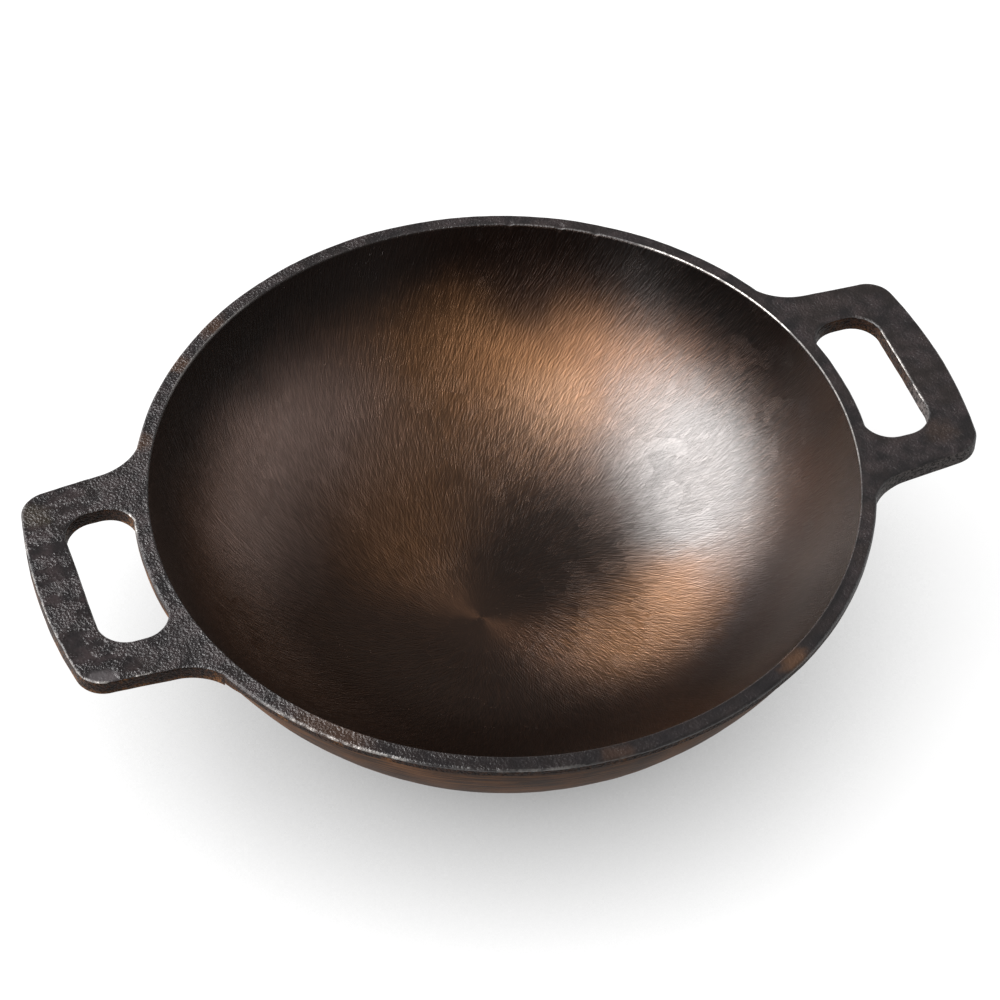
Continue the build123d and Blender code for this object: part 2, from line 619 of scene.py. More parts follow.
@dataclass
class LipCasting(Casting):
    """The lip: its ground inner face, flat top, land, and the deep stretches behind the handles."""

    segments: int = 1440
    inner_steps: int = 9
    chamfer_steps: int = 2
    top_steps: int = 16
    top_crowding: float = 1.8
    land_steps: int = 5
    step_steps: int = 2
    wall_steps: int = 6
    edge_span: float = 1.3
    pad_fade: float = math.radians(7.0)

    def build(self) -> None:
        """Turns the lip's section, then deepens it behind the handles and rounds its edge."""
        sizes, wall, outer = self.sizes, self.curve.wall, self.curve.outer
        chamfer_low = sizes.height - sizes.mouth_chamfer
        pen = Lathe(wall.across_at(sizes.lip_bottom), sizes.lip_bottom)
        pen.arc(wall, wall.across_at(chamfer_low), chamfer_low, self.inner_steps)
        pen.line(wall.across_at(sizes.height) + sizes.mouth_chamfer, sizes.height, self.chamfer_steps)
        pen.line(sizes.rim_radius, sizes.height, self.top_steps, self.top_crowding)
        pen.line(sizes.rim_radius, sizes.height - self.edge_span * sizes.edge_radius, 1)
        pen.line(sizes.rim_radius, sizes.land_bottom, self.land_steps)
        pen.line(sizes.rim_radius - sizes.land_step, sizes.land_bottom, self.step_steps)
        pen.arc(outer, outer.across_at(sizes.lip_bottom), sizes.lip_bottom, self.wall_steps)
        pen.close()
        mesh = pen.turned(self.segments)
        for vert in mesh.verts:
            vert.co = self._shaped(vert.co)
        self.finish("lip_casting", mesh, "rim_iron", ("rim_lip",))

    def _shaped(self, point: Vector) -> Vector:
        """Where a point of the plain turned ring goes."""
        sizes = self.sizes
        radius = math.hypot(point.x, point.y)
        if point.z > sizes.height - MERGE_GAP:
            drop = self.plan.edge_drop(self.plan.edge_distance(point))
            return Vector((point.x, point.y, point.z - drop))
        outer = self.curve.outer.across_at(min(point.z, sizes.land_bottom))
        if point.z > sizes.land_bottom + MERGE_GAP or radius < outer - MERGE_GAP:
            return point
        angle = math.atan2(abs(point.y), abs(point.x))
        share = 1.0 - smooth_step(angle, self.plan.outer_angle, self.plan.outer_angle + self.pad_fade)
        pad_radius, pad_up = self._pad(radius, point.z)
        stretch = 1.0 + share * (pad_radius / radius - 1.0)
        up = point.z + share * (pad_up - point.z)
        return Vector((point.x * stretch, point.y * stretch, up))

    def _pad(self, radius: float, up: float) -> tuple[float, float]:
        """Where a point of the step or of the wall under it lies behind a handle.

        Args:
            radius: the point's distance from the axis.
            up: the point's height.

        Returns:
            Its radius and height on the lip's full depth.
        """
        sizes = self.sizes
        depth = sizes.land_bottom - sizes.lip_bottom
        if up > sizes.land_bottom - MERGE_GAP:
            share = (sizes.rim_radius - radius) / sizes.land_step
            return sizes.rim_radius, sizes.land_bottom - share * depth
        share = (sizes.land_bottom - up) / depth
        foot = self.curve.outer.across_at(sizes.lip_bottom)
        return sizes.rim_radius + share * (foot - sizes.rim_radius), sizes.lip_bottom


@dataclass
class HandleCasting(Casting):
    """One handle: a blunt flat plate with a finger slot, grown out of the lip."""

    side: Side = Side.RIGHT
    stations: int = 360
    top_rows: int = 48
    wall_rows: int = 8
    edge_crowding: float = 0.8
    root_fade: float = 0.3

    def build(self) -> None:
        """Bends a grid into the ring of a section, along the U from root to root."""
        rows = 2 * (self.top_rows + self.wall_rows)
        mesh = bmesh.new()
        bmesh.ops.create_grid(mesh, x_segments=self.stations, y_segments=rows, size=1.0)
        for vert in mesh.verts:
            row = round((vert.co.y + 1.0) / 2.0 * rows)
            vert.co = self._place(vert.co.x, row)
        bmesh.ops.remove_doubles(mesh, verts=mesh.verts[:], dist=MERGE_GAP)
        ends = [edge for edge in mesh.edges if edge.is_boundary]
        caps = bmesh.ops.holes_fill(mesh, edges=ends, sides=0)
        bmesh.ops.triangulate(mesh, faces=caps["faces"])
        if self.side is Side.LEFT:
            half_turn = Matrix.Rotation(math.pi, 3, "Z")
            bmesh.ops.rotate(mesh, verts=mesh.verts[:], cent=(0.0, 0.0, 0.0), matrix=half_turn)
        bmesh.ops.recalc_face_normals(mesh, faces=mesh.faces[:])
        name = self.side.name.lower()
        self.finish(f"{name}_handle_casting", mesh, "rim_iron", (f"handle_{name}",))

    def skin_at(self, centre: Vector, normal: Vector) -> Skin:
        """A handle has its cast skin all over, browner on its upright faces."""
        return Skin.SIDE if abs(normal.z) < self.side_slope else Skin.CAST

    def _across(self, row: int) -> float:
        """The share from the outer edge to the slot's edge, with rows crowded at both."""
        share = row / self.top_rows
        return share - self.edge_crowding * math.sin(math.tau * share) / math.tau

    def _plan_point(self, along: float, across: float) -> Vector:
        """A point of the plate seen from above.

        Args:
            along: from -1 at one root to 1 at the other.
            across: from 0 at the outer edge to 1 at the slot's edge.

        Returns:
            The point in the right handle's plan.
        """
        share = 1.0 - abs(along)
        outer, slot = self.plan.outer.point(share), self.plan.slot.point(share)
        point = outer.lerp(slot, across)
        fade = max(1.0 - share / self.root_fade, 0.0) ** 2
        if fade > 0.0:
            chord = self.plan.outer.point(0.0).lerp(self.plan.slot.point(0.0), across)
            angle = self.plan.outer_angle + across * (self.plan.slot_angle - self.plan.outer_angle)
            circle = Vector((math.cos(angle), math.sin(angle))) * self.sizes.rim_radius
            point += (circle - chord) * fade
        return Vector((point.x, math.copysign(point.y, along)))

    def _place(self, along: float, row: int) -> Vector:
        """Where a point of the grid goes.

        Args:
            along: from -1 at one root to 1 at the other.
            row: the point's place round the section, over the top, down the slot's wall, back
                under the plate and up the outer wall.

        Returns:
            The point on the right handle.
        """
        sizes = self.sizes
        middle, half = (sizes.height + sizes.lip_bottom) / 2, (sizes.height - sizes.lip_bottom) / 2
        lap, step = divmod(row, self.top_rows + self.wall_rows)
        under = lap == 1
        across = self._across(min(step, self.top_rows))
        point = self._plan_point(along, 1.0 - across if under else across)
        if step <= self.top_rows:
            rise = half - self.plan.edge_drop(self.plan.edge_distance(point))
        else:
            rise = (half - sizes.edge_radius) * (1.0 - 2.0 * (step - self.top_rows) / self.wall_rows)
        return Vector((point.x, point.y, middle - rise if under else middle + rise))


Point = tuple[float, float, float]
Colour = tuple[float, float, float, float]
# An ease's low and high and, where they aren't 0 and 1, the values it starts and ends with.
Ramp = tuple[float, ...]
# A noise's size and detail, or a sway's size and how far it goes.
Cloud = tuple[float, float]
# A noise's size and detail, and then the ramp that its patches' edges have.
Patches = tuple[float, ...]


class Signal:
    """A number, colour or vector that nodes work out, so that a finish reads as formulas."""

    def __init__(self, nodes: Nodes, socket: bpy.types.NodeSocket) -> None:
        self.nodes = nodes
        self.socket = socket
        self.is_number = socket.type == "VALUE"

    def _step(self, operation: str, other: Value) -> Signal:
        """One step of arithmetic, on numbers or on vectors."""
        work = self.nodes.math if self.is_number else self.nodes.vector
        return work(operation, self, other)

    __add__ = __radd__ = partialmethod(_step, "ADD")
    __sub__ = partialmethod(_step, "SUBTRACT")
    __truediv__ = partialmethod(_step, "DIVIDE")
    most = partialmethod(_step, "MAXIMUM")
    least = partialmethod(_step, "MINIMUM")

    def __mul__(self, other: Value) -> Signal:
        """The product with a number."""
        return self._step("MULTIPLY" if self.is_number else "SCALE", other)

    def __rsub__(self, other: float) -> Signal:
        """A plain number less this one."""
        return self.nodes.math("SUBTRACT", other, self)

    def ease(self, low: float, high: float, start: float = 0.0, end: float = 1.0) -> Signal:
        """Goes smoothly from start to end as the number goes from low to high."""
        inputs = dict(enumerate((self, low, high, start, end)))
        return self.nodes.step("MapRange", inputs, interpolation_type="SMOOTHSTEP")

    def blend(self, first: Value, second: Value) -> Signal:
        """Mixes two colours: the first where the number is 0, the second where it is 1."""
        return self.nodes.step("Mix", {0: self, 6: first, 7: second}, 2, data_type="RGBA")

    def bump(self, depth: float) -> Signal:
        """A normal raised by this height from 0 to 1, which is depth millimetres high."""
        return self.nodes.step("Bump", {"Height": self, "Distance": depth * MM})

    def split(self) -> tuple[Signal, ...]:
        """The X, Y and Z of a vector."""
        first = self.nodes.step("SeparateXYZ", {0: self})
        return tuple(Signal(self.nodes, socket) for socket in first.socket.node.outputs)

    def polar(self) -> tuple[Signal, Signal]:
        """The radius and the angle of a vector's X and Y."""
        x, y, _ = self.split()
        return self.nodes.vector("LENGTH", self.nodes.join(x, y, 0.0)), self.nodes.math("ARCTAN2", y, x)

    def wrapped(self, radius: Value, height: Value) -> Signal:
        """This angle's place on an upright cylinder."""
        across, beside = (self.nodes.math(turn, self) * radius for turn in ("COSINE", "SINE"))
        return self.nodes.join(across, beside, height)

    def noise(self, size: float, detail: float, output: str = "Fac") -> Signal:
        """Cloudy noise over this place, with features about size across."""
        inputs = {"Vector": self, "Scale": 1.0 / size, "Detail": detail}
        return self.nodes.step("TexNoise", inputs, output)

    def patches(self, size: float, detail: float, *ramp: float) -> Signal:
        """Soft-edged patches over this place: noise and then an ease of it."""
        return self.noise(size, detail).ease(*ramp)

    def sway(self, size: float, far: float) -> Signal:
        """This place, shifted by up to about far by cloudy noise of a size."""
        return self + (self.noise(size, 1.0, "Color") - (0.5, 0.5, 0.5)) * (2.0 * far)

    def beads(self, size: float, smoothness: float = 0.35) -> Signal:
        """Packed round grains over this place, about size across and highest in the middle."""
        inputs = {"Vector": self, "Scale": 1.0 / size, "Smoothness": smoothness}
        return 1.0 - self.nodes.step("TexVoronoi", inputs, "Distance", feature="SMOOTH_F1")

    def grains(self, size: float, edge: float = 0.62, core: float = 0.1) -> Signal:
        """Scattered round grains of uneven height over this place, about size across."""
        inputs = {"Vector": self, "Scale": 1.0 / size}
        apart = self.nodes.step("TexVoronoi", inputs, "Distance", feature="F1")
        colour = Signal(self.nodes, apart.socket.node.outputs["Color"])
        return apart.ease(edge, core) * colour.split()[0]


Value = Signal | float | tuple[float, ...]


class Nodes:
    """One material's node tree."""

    def __init__(self, name: str) -> None:
        self.material = bpy.data.materials.new(name)
        self.material.use_nodes = True
        self.tree = self.material.node_tree
        self.tree.nodes.clear()

    def step(
        self, kind: str, inputs: dict[int | str, Value], output: int | str = 0, **options: str | int
    ) -> Signal:
        """Adds a shader node.

        Args:
            kind: the node's type, less its prefix.
            inputs: what goes into its sockets, by index or name.
            output: the socket that is wanted of it.
            options: its settings.

        Returns:
            The signal at that output.
        """
        node = self.tree.nodes.new(f"ShaderNode{kind}")
        for name, value in options.items():
            setattr(node, name, value)
        for key, value in inputs.items():
            if isinstance(value, Signal):
                self.tree.links.new(value.socket, node.inputs[key])
            else:
                node.inputs[key].default_value = value
        return Signal(self, node.outputs[output])

    def math(self, operation: str, *values: Value) -> Signal:
        """One step of arithmetic."""
        return self.step("Math", dict(enumerate(values)), operation=operation)

    def vector(self, operation: str, *values: Value) -> Signal:
        """One step of vector arithmetic, where SCALE takes its number last."""
        keys = (0, "Scale") if operation == "SCALE" else range(len(values))
        output = "Value" if operation in {"LENGTH", "DISTANCE"} else 0
        return self.step("VectorMath", dict(zip(keys, values)), output, operation=operation)

    def join(self, *values: Value) -> Signal:
        """A vector of an X, a Y and a Z."""
        return self.step("CombineXYZ", dict(enumerate(values)))

    def place(self) -> Signal:
        """Object coordinates in millimetres."""
        return self.step("TexCoord", {}, "Object") * PER_METRE

    def shader(self, **values: Value) -> bpy.types.Material:
        """Ends the tree in one principled shader.

        Args:
            values: the shader's inputs, with underscores for the spaces in their names.

        Returns:
            The finished material.
        """
        inputs = {name.replace("_", " "): value for name, value in values.items()}
        surface = self.step("BsdfPrincipled", inputs)
        output = self.tree.nodes.new("ShaderNodeOutputMaterial")
        self.tree.links.new(surface.socket, output.inputs["Surface"])
        return self.material


@dataclass(frozen=True)
class Spot:
    """A soft-edged round patch, in millimetres."""

    centre: Point
    reach: float
    strength: float = 1.0
    core_share: float = 0.3

    def share(self, place: Signal) -> Signal:
        """How much of the patch a place has: its strength in the core, nothing out of reach."""
        apart = place.nodes.vector("DISTANCE", place, self.centre)
        return apart.ease(self.reach, self.core_share * self.reach, 0.0, self.strength)


@dataclass(frozen=True)
class Worn(Spot):
    """A place where an edge is rubbed or knocked down to bare metal."""

    core_share: float = 0.6


Tints = tuple[tuple[Colour, Spot], ...]


def tinted(skin: Value, place: Signal, tints: Tints) -> Value:
    """Lays tints over a colour, one after another."""
    for tint, spot in tints:
        skin = spot.share(place).blend(skin, tint)
    return skin


UMBER = (0.100, 0.048, 0.026, 1.0)
# Bronze: the metal's own tint, laid where it also stands for the fringe of the key's reflection, a
# painted highlight.
BRONZE_SHEEN = (0.165, 0.078, 0.034, 1.0)
# Copper: painted highlight that carries the key's reflection further in at the back.
COPPER_HIGHLIGHT = (0.27, 0.15, 0.085, 1.0)
# Pewter: painted reflection, a soft glow on the back-left wall.
PEWTER_REFLECTION = (0.34, 0.225, 0.185, 1.0)
# Steel: painted highlight, greyer metal that keeps the core of the key's reflection white.
STEEL_HIGHLIGHT = (0.11, 0.100, 0.096, 1.0)
SLATE = (0.040, 0.030, 0.028, 1.0)
# Peat: painted shadow, the dark floor where the rim shades it from the key.
PEAT_SHADOW = (0.055, 0.023, 0.010, 1.0)
# Dark brown: painted shade in a band towards the rim.
RIM_SHADE = (0.018, 0.009, 0.006, 1.0)
RUST = (0.10, 0.045, 0.018, 1.0)
DEEP_RUST = (0.09, 0.040, 0.016, 1.0)
RED_RUST = (0.09, 0.040, 0.018, 1.0)
FRESH_RUST = (0.12, 0.055, 0.024, 1.0)
DUN = (0.05, 0.025, 0.012, 1.0)
OCHRE = (0.06, 0.045, 0.022, 1.0)
ASH = (0.080, 0.071, 0.073, 1.0)


@dataclass(frozen=True)
class GroundIron:
    """The inside: iron ground with short scratches that wind out from one centre, then seasoned, its
    colour painted with highlight, reflection and shade.
    """

    swirl: Point = (-8.0, 2.9, 0.0)
    roughness: float = 0.37
    anisotropy: float = 0.78
    coat_roughness: float = 0.31
    lean: float = math.radians(20.0)
    tangent_sway: Cloud = (8.0, 2.6)
    flow_sway: Cloud = (50.0, 1.6)
    wall_wind: float = 0.0017
    families: tuple[tuple[float, float], ...] = ((-0.40, 1.0), (-0.06, 1.5), (0.30, 0.85))
    family_gap: float = 17.0
    stroke_width: float = 0.40
    stroke_length: float = 9.5
    stroke_detail: float = 2.0
    stroke_edge: Ramp = (0.42, 0.66)
    stroke_contrast: float = 0.68
    even_stroke: float = 0.4
    scratch_depth: float = 0.115
    band_ratio: float = 1.5
    band_noise: Cloud = (12.0, 1.0)
    band_spread: float = 0.8
    band_least: float = 0.6
    calm: Ramp = (5.2, 26.0, 0.3, 1.0)
    fray: float = 9.0
    broad_sway: Cloud = (30.0, 6.0)
    ragged_sway: Cloud = (9.0, 3.0)
    ring_width: float = 11.0
    ring_breaks: Patches = (18.0, 1.0, 0.35, 0.65)
    ring_reach: Ramp = (62.0, 43.4, 0.0, 0.42)
    # Painted shade: the heights over which the inside darkens towards the rim.
    rim_shade_height: Ramp = (46.0, 74.0)
    # Tints over the metal, mostly painted light: the bronze and copper patches and the grey steel one
    # are painted highlight round the key's reflection, the pewter ones painted reflection on the
    # back-left wall, the peat ones painted shadow on the floor, and the dark one at the back rim painted
    # shade.
    tints: Tints = (
        (BRONZE_SHEEN, Spot((22, 95, 42), 86, 0.95, 0.1)),
        (BRONZE_SHEEN, Spot((-17, 36, 9), 50, 0.4, 0.1)),
        (PEWTER_REFLECTION, Spot((-55, 79, 39), 60, 1.0, 0.05)),
        (PEWTER_REFLECTION, Spot((-78, 44, 32), 38, 0.7, 0.05)),
        (BRONZE_SHEEN, Spot((-26, 50, 15), 44, 0.55, 0.1)),
        (SLATE, Spot((84, -66, 50), 62, 1.0, 0.5)),
        (STEEL_HIGHLIGHT, Spot((82, 20, 29), 58)),
        (COPPER_HIGHLIGHT, Spot((41, 71, 27), 28, 0.6, 0.1)),
        (BRONZE_SHEEN, Spot((45, -23, 10), 41)),
        (PEAT_SHADOW, Spot((25, 17, 7), 38, 0.9)),
        (PEAT_SHADOW, Spot((12, -9, 5), 20, 0.6)),
        (RIM_SHADE, Spot((50, 104, 62), 32, 0.8, 0.2)),
    )
    dulled: tuple[Spot, ...] = (
        Spot((40, 100, 58), 58, 0.75, 0.35),
        Spot((-26, 48, 15), 42, 0.4, 0.2),
        Spot((34, 88, 36), 26, 0.35, 0.2),
        Spot((62, -92, 58), 62, 0.7, 0.5),
        Spot((74, -46, 32), 28, 0.4, 0.3),
        Spot((-48, -84, 52), 50, 0.45, 0.4),
        Spot((110, 50, 72), 46, 0.6, 0.4),
    )

    def build(self) -> bpy.types.Material:
        """Makes the material."""
        nodes = Nodes("ground_iron")
        place = nodes.place()
        strokes = self._strokes(place)
        ragged = place.sway(*self.broad_sway).sway(*self.ragged_sway)
        away = nodes.vector("NORMALIZE", place - self.swirl)
        # The metal's colour, with the painted highlight, reflection and shadow laid over it.
        metal_with_painted_light = tinted(UMBER, ragged + away * ((strokes - 0.5) * self.fray), self.tints)
        # Darker towards the rim: painted shade.
        metal_with_painted_light = ragged.split()[2].ease(*self.rim_shade_height).blend(metal_with_painted_light, RIM_SHADE)
        oil = 1.0
        for spot in self.dulled:
            oil = (1.0 - spot.share(ragged)) * oil
        lit = (strokes - self.even_stroke) * self.stroke_contrast + 1.0
        scratched = (strokes + self._rings(place)).bump(self.scratch_depth)
        return nodes.shader(
            Base_Color=metal_with_painted_light * lit, Metallic=1.0, Roughness=self.roughness,
            Anisotropic=self.anisotropy, Tangent=self._tangent(place),
            Coat_Weight=oil, Coat_Roughness=self.coat_roughness, Normal=scratched, Coat_Normal=scratched,
        )

    def _tangent(self, place: Signal) -> Signal:
        """The direction square to the scratches, along the surface."""
        nodes = place.nodes
        x, y, _ = (place.sway(*self.tangent_sway) - self.swirl).split()
        round_it = nodes.vector("NORMALIZE", nodes.join(y * -1.0, x, 0.0))
        normal = nodes.step("NewGeometry", {}, "Normal")
        outward = nodes.vector("CROSS_PRODUCT", round_it, normal)
        return round_it * math.cos(self.lean) + outward * math.sin(self.lean)

    def _strokes(self, place: Signal) -> Signal:
        """Crossing families of short strokes, about as wide at any distance from their centre.

        Args:
            place: the place in millimetres.

        Returns:
            A value from 0 to 1 that is drawn out along the strokes.
        """
        nodes = place.nodes
        flow = place.sway(*self.flow_sway) - self.swirl
        reach, angle = flow.polar()
        up = flow.split()[2]
        spread = nodes.math("LOGARITHM", reach, math.e)
        wind = spread * math.tan(self.lean) + angle + up * self.wall_wind
        uneven = place.noise(*self.band_noise) * self.band_spread + self.band_least
        band = nodes.math("FLOOR", nodes.math("LOGARITHM", reach * uneven, self.band_ratio))
        turns = nodes.math("POWER", self.band_ratio, band) / self.stroke_width
        along = (reach + up) / self.stroke_length
        strokes = []
        for index, (bias, width) in enumerate(self.families):
            height = along * width + self.family_gap * index
            spot = (spread * bias + wind).wrapped(turns, height)
            strokes.append(spot.patches(width, self.stroke_detail, *self.stroke_edge))
        return (sum(strokes) / len(strokes) - 0.5) * reach.ease(*self.calm) + 0.5

    def _rings(self, place: Signal) -> Signal:
        """Faint broken rings that the turning tool left on the floor."""
        radius, _ = place.polar()
        wave = place.nodes.math("SINE", radius * (math.tau / self.ring_width)) * 0.5 + 0.5
        return wave * place.patches(*self.ring_breaks) * radius.ease(*self.ring_reach)


@dataclass(frozen=True)
class CastIron:
    """The lip and the handles: black sand-cast skin under oil, with glossy grains."""

    black: Colour = (0.007, 0.005, 0.0055, 1.0)
    charcoal: Colour = (0.027, 0.0185, 0.019, 1.0)
    brown: Colour = (0.028, 0.017, 0.012, 1.0)
    bare: Colour = (0.60, 0.57, 0.54, 1.0)
    ior: float = 1.6
    rough_by_x: Ramp = (-60.0, 60.0, 0.33, 0.44)
    patch_noise: Cloud = (7.0, 3.0)
    patch_edge: Ramp = (0.35, 0.7)
    # Painted shade: the skin turns blacker towards the front.
    front_shade_by_y: Ramp = (-70.0, -105.0, 1.0, 0.3)
    browning: Patches = (15.0, 3.0, 0.42, 0.62)
    brown_by_x: Ramp = (40.0, 110.0, 0.15, 0.25)
    stain_sway: Cloud = (4.0, 3.0)
    grain: Cloud = (1.0, 4.0)
    grain_height: float = 1.3
    grain_depth: float = 0.60
    gloss_by_x: Ramp = (-110.0, 0.0, 0.5, 0.12)
    sand_sway: Cloud = (3.5, 1.8)
    sand_by_patch: Ramp = (0.3, 0.62, 0.55, 1.1)
    sand_by_x: Ramp = (-60.0, 60.0, 1.0, 0.62)
    sand_by_y: Ramp = (-60.0, -110.0, 1.0, 0.5)
    smear_length: float = 15.0
    smear_width: float = 5.0
    smears: Patches = (1.0, 3.0, 0.45, 0.60, 0.0, 0.85)
    smear_by_x: Ramp = (-134.0, -142.0)
    facet: Point = (-153.9, -42.4, 84.0)
    facet_reach: Ramp = (6.5, 4.5, 0.0, 0.72)
    chamfer_radius: float = 121.82
    chamfer_width: Ramp = (0.38, 0.12)
    chamfer_height: Ramp = (82.8, 83.3)
    chamfer_breaks: Patches = (3.0, 3.0, 0.30, 0.55, 0.3, 1.0)
    edge_reach: Ramp = (0.5, 0.85)
    scuffs: Patches = (3.5, 3.0, 0.40, 0.60)
    fine_breaks: Patches = (0.8, 3.0, 0.3, 0.5, 0.5, 1.0)
    least_wear: float = 0.03
    tints: Tints = (
        (RUST, Spot((61.5, -110, 84), 8, 0.6)),
        (RUST, Spot((-92, 86.5, 84), 7, 0.35)),
        (DEEP_RUST, Spot((-75, 101.5, 84), 9, 0.35)),
        (RUST, Spot((-114.6, 54.7, 84), 7, 0.35)),
        (FRESH_RUST, Spot((-92, -88, 82), 20, 0.25)),
        (DUN, Spot((148.6, -31.9, 84), 8, 0.3)),
        (RED_RUST, Spot((-7.1, -126.8, 83), 8, 0.25)),
        (OCHRE, Spot((-156.1, 34, 84), 7, 0.3)),
        (ASH, Spot((-153.9, -42.4, 84), 6.5, 0.7, 0.6)),
    )
    # Bare metal on the mouth's edge: real wear, laid strongest on the right where the key glints on it,
    # so partly a painted glint.
    worn_mouth_and_glint: tuple[Worn, ...] = (
        Worn((106, 60, 84), 42),
        Worn((121.6, -4, 84), 44, 0.32),
        Worn((64, 104, 84), 26, 0.10),
        Worn((-80, 91.5, 84), 34, 0.30),
    )
    worn_outline: tuple[Worn, ...] = (
        Worn((-90.4, -89.2, 84), 32, 0.42),
        Worn((-32.9, -122.7, 84), 22, 0.18),
        Worn((148, 1.4, 84), 25, 0.8),
        Worn((-125.4, 20.3, 84), 7, 0.9),
        Worn((-164, -8, 84), 40, 0.45),
        Worn((-147, -43.5, 84), 13, 0.8),
    )

    def build(self) -> bpy.types.Material:
        """Makes the material."""
        nodes = Nodes("cast_iron")
        place = nodes.place()
        x, y, z = place.split()
        patch = place.noise(*self.patch_noise)
        # Fewer charcoal patches towards the front: painted shade that darkens the rim's front.
        skin = (patch.ease(*self.patch_edge) * y.ease(*self.front_shade_by_y)).blend(self.black, self.charcoal)
        skin = (place.patches(*self.browning) * x.ease(*self.brown_by_x)).blend(skin, self.brown)
        skin = tinted(skin, place.sway(*self.stain_sway), self.tints)
        wear = self._wear(place, z)
        coarse = place.noise(*self.grain) * self.grain_height
        grain = place.grains(self.grain[0]) * x.ease(*self.gloss_by_x) + coarse
        return nodes.shader(
            Base_Color=wear.blend(skin, self.bare), Metallic=wear,
            Roughness=x.ease(*self.rough_by_x), IOR=self.ior,
            Normal=(grain * self._sandy(place, patch)).bump(self.grain_depth),
        )

    def _sandy(self, place: Signal, patch: Signal) -> Signal:
        """How deep the sand's grain is: smeared flat in streaks across the left handle's end."""
        nodes = place.nodes
        ragged = place.sway(*self.sand_sway)
        x, y, _ = ragged.split()
        drawn = nodes.join(x / self.smear_length, y / self.smear_width, 0.0)
        smear = drawn.patches(*self.smears) * x.ease(*self.smear_by_x)
        facet = nodes.vector("DISTANCE", ragged, self.facet).ease(*self.facet_reach)
        depth = patch.ease(*self.sand_by_patch) * x.ease(*self.sand_by_x) * y.ease(*self.sand_by_y)
        return (1.0 - smear.most(facet)) * depth

    def _wear(self, place: Signal, up: Signal) -> Signal:
        """Where edges are worn to bare metal: the mouth's chamfer, partly a painted glint, and the
        outline's top edge.
        """
        radius, _ = place.polar()
        off = place.nodes.math("ABSOLUTE", radius - self.chamfer_radius)
        mouth = off.ease(*self.chamfer_width) * up.ease(*self.chamfer_height)
        mouth = mouth * place.patches(*self.chamfer_breaks) * self._strongest(place, self.worn_mouth_and_glint)
        edge = place.nodes.step(
            "Attribute", {}, "Fac", attribute_type="GEOMETRY", attribute_name=WEAR_LAYER
        )
        rubbed = edge.ease(*self.edge_reach) * place.patches(*self.scuffs)
        worn = mouth.most(rubbed * self._strongest(place, self.worn_outline))
        return worn * place.patches(*self.fine_breaks)

    def _strongest(self, place: Signal, spots: tuple[Worn, ...]) -> Value:
        """The strongest of some worn places, on a base of next to none."""
        most = self.least_wear
        for spot in spots:
            most = spot.share(place).most(most)
        return most


@dataclass(frozen=True)
class SideIron:
    """Upright faces of the lip, the handles and the slots: dull brown cast skin with rusty streaks."""

    dark: Colour = (0.028, 0.014, 0.009, 1.0)
    warm: Colour = (0.140, 0.060, 0.021, 1.0)
    grey: Colour = (0.150, 0.134, 0.130, 1.0)
    roughness: float = 0.5
    specular: float = 0.10
    patch_noise: Cloud = (8.0, 4.0)
    rust_by_height: Ramp = (80.5, 77.8, 0.0, 0.25)
    rust_edge: Ramp = (0.50, 0.76)
    rust_by_x: Ramp = (60.0, 0.0, 0.25, 1.0)
    grey_by_x: Ramp = (60.0, 130.0, 0.0, 0.8)
    grey_by_y: Ramp = (0.0, -20.0)
    pits: Patches = (1.1, 2.0, 0.43, 0.55, 0.25, 1.0)
    bead: float = 0.9
    grain_noise: Cloud = (0.7, 3.0)
    grain_depth: float = 0.40

    def build(self) -> bpy.types.Material:
        """Makes the material."""
        nodes = Nodes("side_iron")
        place = nodes.place()
        x, y, z = place.split()
        rust = place.noise(*self.patch_noise) + z.ease(*self.rust_by_height)
        skin = (rust.ease(*self.rust_edge) * x.ease(*self.rust_by_x)).blend(self.dark, self.warm)
        skin = (x.ease(*self.grey_by_x) * y.ease(*self.grey_by_y)).blend(skin, self.grey)
        grain = place.beads(self.bead) + place.noise(*self.grain_noise)
        return nodes.shader(
            Base_Color=skin * place.patches(*self.pits),
            Roughness=self.roughness, Specular_IOR_Level=self.specular,
            Normal=grain.bump(self.grain_depth),
        )


@dataclass(frozen=True)
class WallIron:
    """The bowl's outside: brown seasoned iron with faint streaks round it."""

    dark: Colour = (0.033, 0.017, 0.010, 1.0)
    warm: Colour = (0.175, 0.075, 0.029, 1.0)
    roughness: float = 0.5
    specular: float = 0.03
    streak_turns: float = 6.0
    streak_height: float = 1.4
    streak_noise: Cloud = (1.0, 3.0)
    streak_share: float = 0.8
    patch_noise: Cloud = (16.0, 4.0)
    patch_share: float = 0.5
    tone_edge: Ramp = (0.52, 0.84)
    grain_noise: Cloud = (1.0, 3.0)
    grain_share: float = 0.7
    ridge_share: float = 0.6
    grain_depth: float = 0.14

    def build(self) -> bpy.types.Material:
        """Makes the material."""
        nodes = Nodes("wall_iron")
        place = nodes.place()
        radius, angle = place.polar()
        height = (place.split()[2] + radius) / self.streak_height
        streak = angle.wrapped(self.streak_turns, height).noise(*self.streak_noise)
        tone = streak * self.streak_share + place.noise(*self.patch_noise) * self.patch_share
        grain = place.noise(*self.grain_noise) * self.grain_share + streak * self.ridge_share
        return nodes.shader(
            Base_Color=tone.ease(*self.tone_edge).blend(self.dark, self.warm),
            Roughness=self.roughness, Specular_IOR_Level=self.specular,
            Normal=grain.bump(self.grain_depth),
        )


def aim(azimuth: float, elevation: float) -> Vector:
    """The direction at an angle round from +X and an angle up, in degrees."""
    turn, rise = math.radians(azimuth), math.radians(elevation)
    level = math.cos(rise)
    return Vector((math.cos(turn) * level, math.sin(turn) * level, math.sin(rise)))


